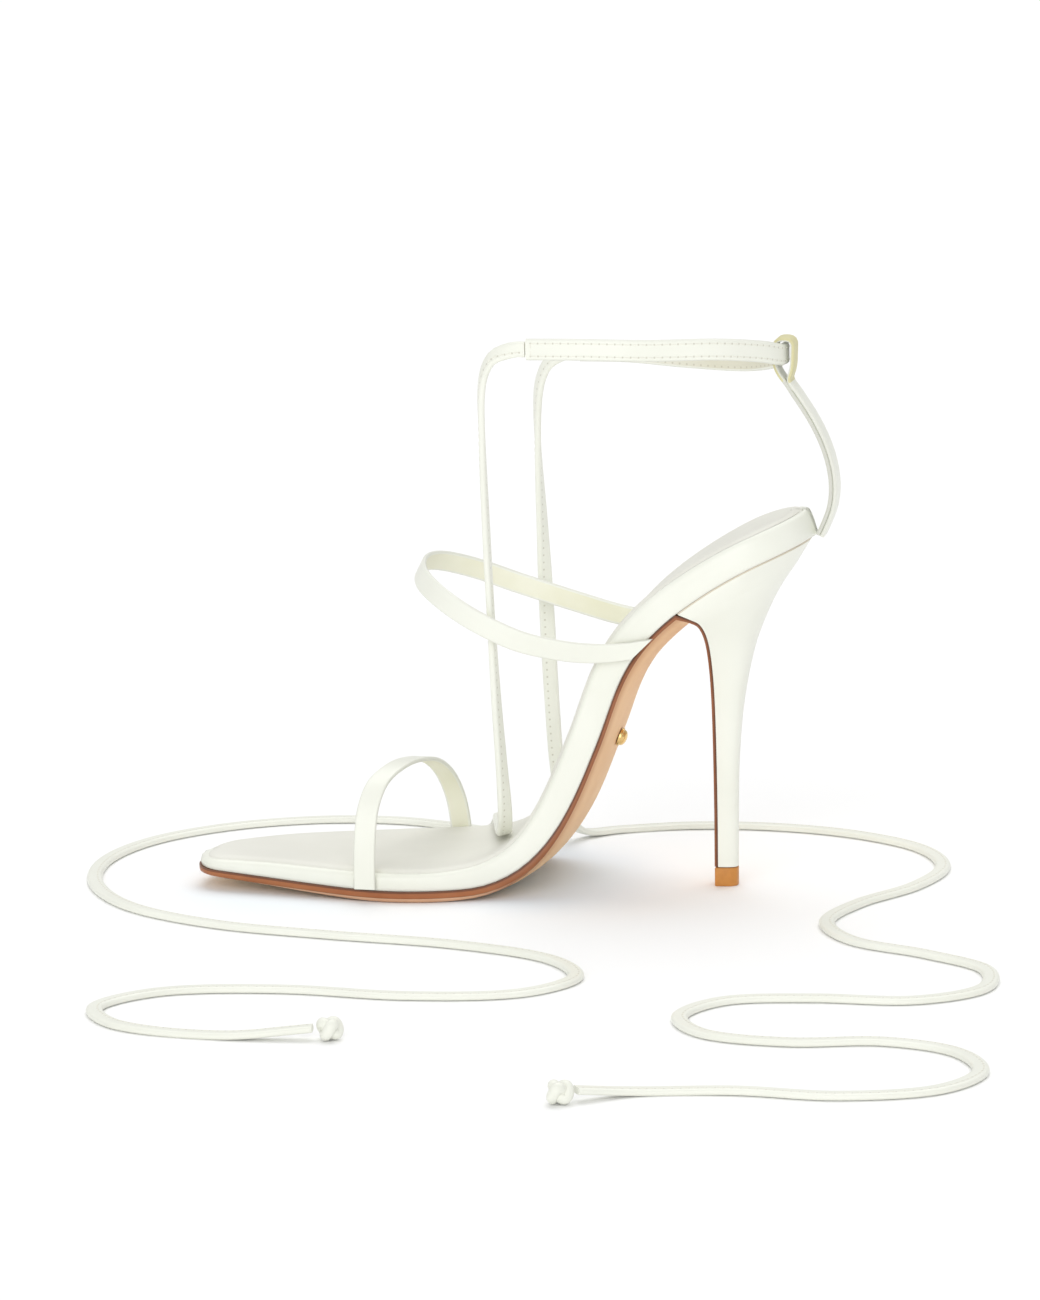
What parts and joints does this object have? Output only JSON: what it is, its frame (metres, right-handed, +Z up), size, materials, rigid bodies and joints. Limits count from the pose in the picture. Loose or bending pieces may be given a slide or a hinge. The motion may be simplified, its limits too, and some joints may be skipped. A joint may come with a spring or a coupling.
{
  "type": "high-heeled strap sandal",
  "caption": "Open stiletto sandal with a toe strap, an instep strap, a heel strap that carries an ankle band, and long flat ties that lie loose on the floor.",
  "frame": {"origin": "on the floor under the ball of the foot, on the flat of the outsole, in the upright plane through the middle of the heel", "axes": "+X towards the heel, -X towards the toe, -Y towards the inner side of the foot, +Z up"},
  "size_m": [0.3189, 0.3527, 0.1791],
  "materials": {
    "upper_leather": "smooth ivory leather with a soft gloss",
    "sock_leather": "matt grey-ivory sock leather",
    "sole_leather": "tan sole leather with a burnished edge",
    "tip_rubber": "amber brown top piece",
    "stud_metal": "polished gold tone"
  },
  "bodies": {
    "root": {"outsole": "sole_leather", "footbed": "upper_leather", "insole": "sock_leather", "heel": "upper_leather", "heel_tip": "tip_rubber", "sole_stud": "stud_metal", "toe_strap": "upper_leather", "instep_strap": "upper_leather", "heel_strap": "upper_leather", "ankle_band": "upper_leather", "tie_inner": "upper_leather", "tie_inner_knot": "upper_leather", "tie_outer": "upper_leather", "tie_outer_knot": "upper_leather"}
  },
  "joints": []
}
